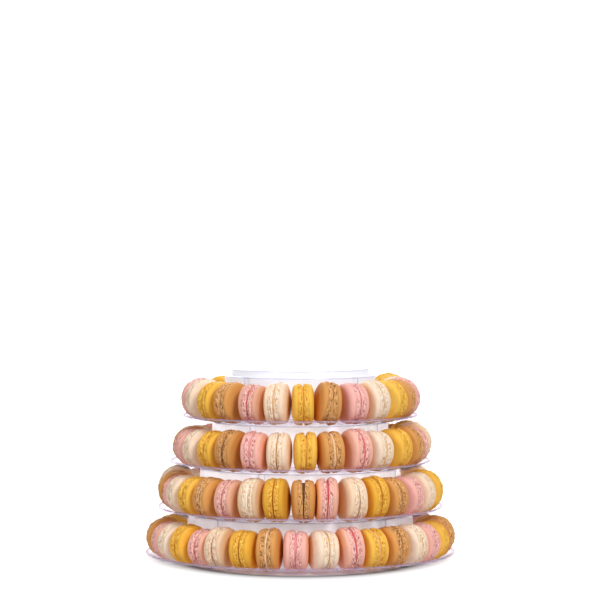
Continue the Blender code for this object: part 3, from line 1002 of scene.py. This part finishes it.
# Ramps over the distance from the axis.  The base colour's grey, which paints the shade, and the
# painted glow that whitens it
SHADE_RAMP = (0.164, 0.22, 0.14, 0.58)
UNDER_RAMP = (0.158, 0.166, 0.30, 0.0)
NEAR_GLOW = (0.165, 0.181, 0.03, 0.50)
FAR_GLOW = (0.181, 0.22, 0.0, 0.44)
UNDER_GLOW = (0.150, 0.164, 0.20, 0.0)
UNDER_TINT_RAMP = (0.155, 0.168)
# painted reflection: the floor under the tray takes the macarons' pink
UNDER_TINT = (1.0, 0.76, 0.83, 1.0)
BOUNCE_RAMP = (0.16, 0.40, 0.46, 0.10)  # painted light: the glow that the other surfaces get from the floor
WORLD_STRENGTHS = (1.1, 0.06)  # as it is seen, and of the light that it casts
WHITE = (1.0, 1.0, 1.0, 1.0)
LIGHT_COLOUR = (0.94, 0.97, 1.0)
LIGHT_AIM = (0.0, 0.0, 0.1)
# Name, place, side of the square and power
SOFTBOXES = (
    ("top", (0.2, -0.5, 3.0), 2.4, 55.0),
    ("key", (2.8, -5.0, 3.7), 2.2, 267.0),
    ("fill", (-4.2, -4.2, 2.6), 2.4, 116.0),
    ("back", (-0.8, 5.6, 2.4), 2.4, 120.0),
)


def add_stage():
    """A pale floor with a thin painted soft shade round the tower, painted lighter and pinker again
    under the clear tray.
    """
    mesh = bpy.data.meshes.new("floor")
    square = ((-1, -1), (1, -1), (1, 1), (-1, 1))
    corners = [(x * FLOOR_HALF, y * FLOOR_HALF, 0.0) for x, y in square]
    mesh.from_pydata(corners, [], [(0, 1, 2, 3)])
    floor = linked("floor", mesh)
    floor.location.z = -FLOOR_DROP
    look = Look("floor")
    look.set("Roughness", FLOOR_ROUGHNESS)
    look.set("Specular IOR Level", FLOOR_GLOSS)
    place = look.stretch(look.node("TexCoord").outputs["Object"], FLOOR_STRETCH)
    away = look.node("VectorMath", {0: place})
    away.operation = "LENGTH"
    distance = away.outputs["Value"]
    shade = look.spread(distance, *SHADE_RAMP)
    look.set("Base Color", look.math("ADD", shade, look.spread(distance, *UNDER_RAMP)))
    near = look.spread(distance, *NEAR_GLOW)
    glow = look.math("ADD", near, look.spread(distance, *FAR_GLOW))
    glow = look.math("ADD", glow, look.spread(distance, *UNDER_GLOW))
    under = look.spread(distance, *UNDER_TINT_RAMP)
    look.set("Emission Color", look.mix(under, UNDER_TINT, WHITE))
    diffuse = look.node("LightPath").outputs["Is Diffuse Ray"]
    seen = look.math("MULTIPLY", glow, look.spread(diffuse, 0.0, 1.0, 1.0, 0.0))
    bounce = look.math("MULTIPLY", look.spread(distance, *BOUNCE_RAMP), diffuse)
    look.set("Emission Strength", look.math("ADD", seen, bounce))
    mesh.materials.append(look.material)


def add_world():
    """A white surround that casts less light than it shows."""
    world = bpy.data.worlds.new("studio")
    bpy.context.scene.world = world
    world.use_nodes = True
    nodes, links = world.node_tree.nodes, world.node_tree.links
    path = nodes.new("ShaderNodeLightPath")
    mix = nodes.new("ShaderNodeMixShader")
    links.new(path.outputs["Is Diffuse Ray"], mix.inputs["Fac"])
    backgrounds = (nodes["Background"], nodes.new("ShaderNodeBackground"))
    for number, background in enumerate(backgrounds):
        background.inputs["Color"].default_value = WHITE
        background.inputs["Strength"].default_value = WORLD_STRENGTHS[number]
        links.new(background.outputs["Background"], mix.inputs[number + 1])
    links.new(mix.outputs["Shader"], nodes["World Output"].inputs["Surface"])


def add_softbox(name, place, size, power):
    """A square light that faces the tower."""
    light = bpy.data.lights.new(name, "AREA")
    light.shape = "SQUARE"
    light.size = size
    light.energy = power
    light.color = LIGHT_COLOUR
    lamp = linked(name, light)
    lamp.location = place
    aim = Vector(LIGHT_AIM) - Vector(place)
    lamp.rotation_euler = aim.to_track_quat("-Z", "Y").to_euler()


def add_camera():
    """A camera that looks down just enough for the horizon to lie at its row."""
    camera_data = bpy.data.cameras.new("camera")
    camera_data.sensor_width = SENSOR_WIDTH
    camera_data.lens = SENSOR_WIDTH * FOCAL_PIXELS / PICTURE_SIDE
    camera_data.clip_start, camera_data.clip_end = CAMERA_CLIP
    camera = linked("camera", camera_data)
    camera.location = (CAMERA_SIDE, -CAMERA_DISTANCE, CAMERA_HEIGHT)
    down = math.atan((PICTURE_SIDE / 2 - HORIZON_ROW) / FOCAL_PIXELS)
    camera.rotation_euler = (math.pi / 2 - down, 0.0, 0.0)
    bpy.context.scene.camera = camera


def build():
    materials = {f"{colour}_shell": shell_look(colour) for colour in SHELL_COLOURS}
    materials.update({f"{kind}_filling": filling_look(kind) for kind in FILLING_COLOURS})
    clear = tray_look()
    for tier in range(TIER_COUNT):
        macarons = ring_of_macarons(tier)
        add_macarons(tier, macarons, materials)
        add_tray(tier, macarons, clear)
    add_stage()
    add_world()
    for softbox in SOFTBOXES:
        add_softbox(*softbox)
    add_camera()
    scene = bpy.context.scene
    scene.view_settings.view_transform = "Standard"
    scene.cycles.max_bounces = 14
    scene.cycles.diffuse_bounces = 4
    scene.cycles.glossy_bounces = 4
    scene.cycles.transmission_bounces = 14


build()
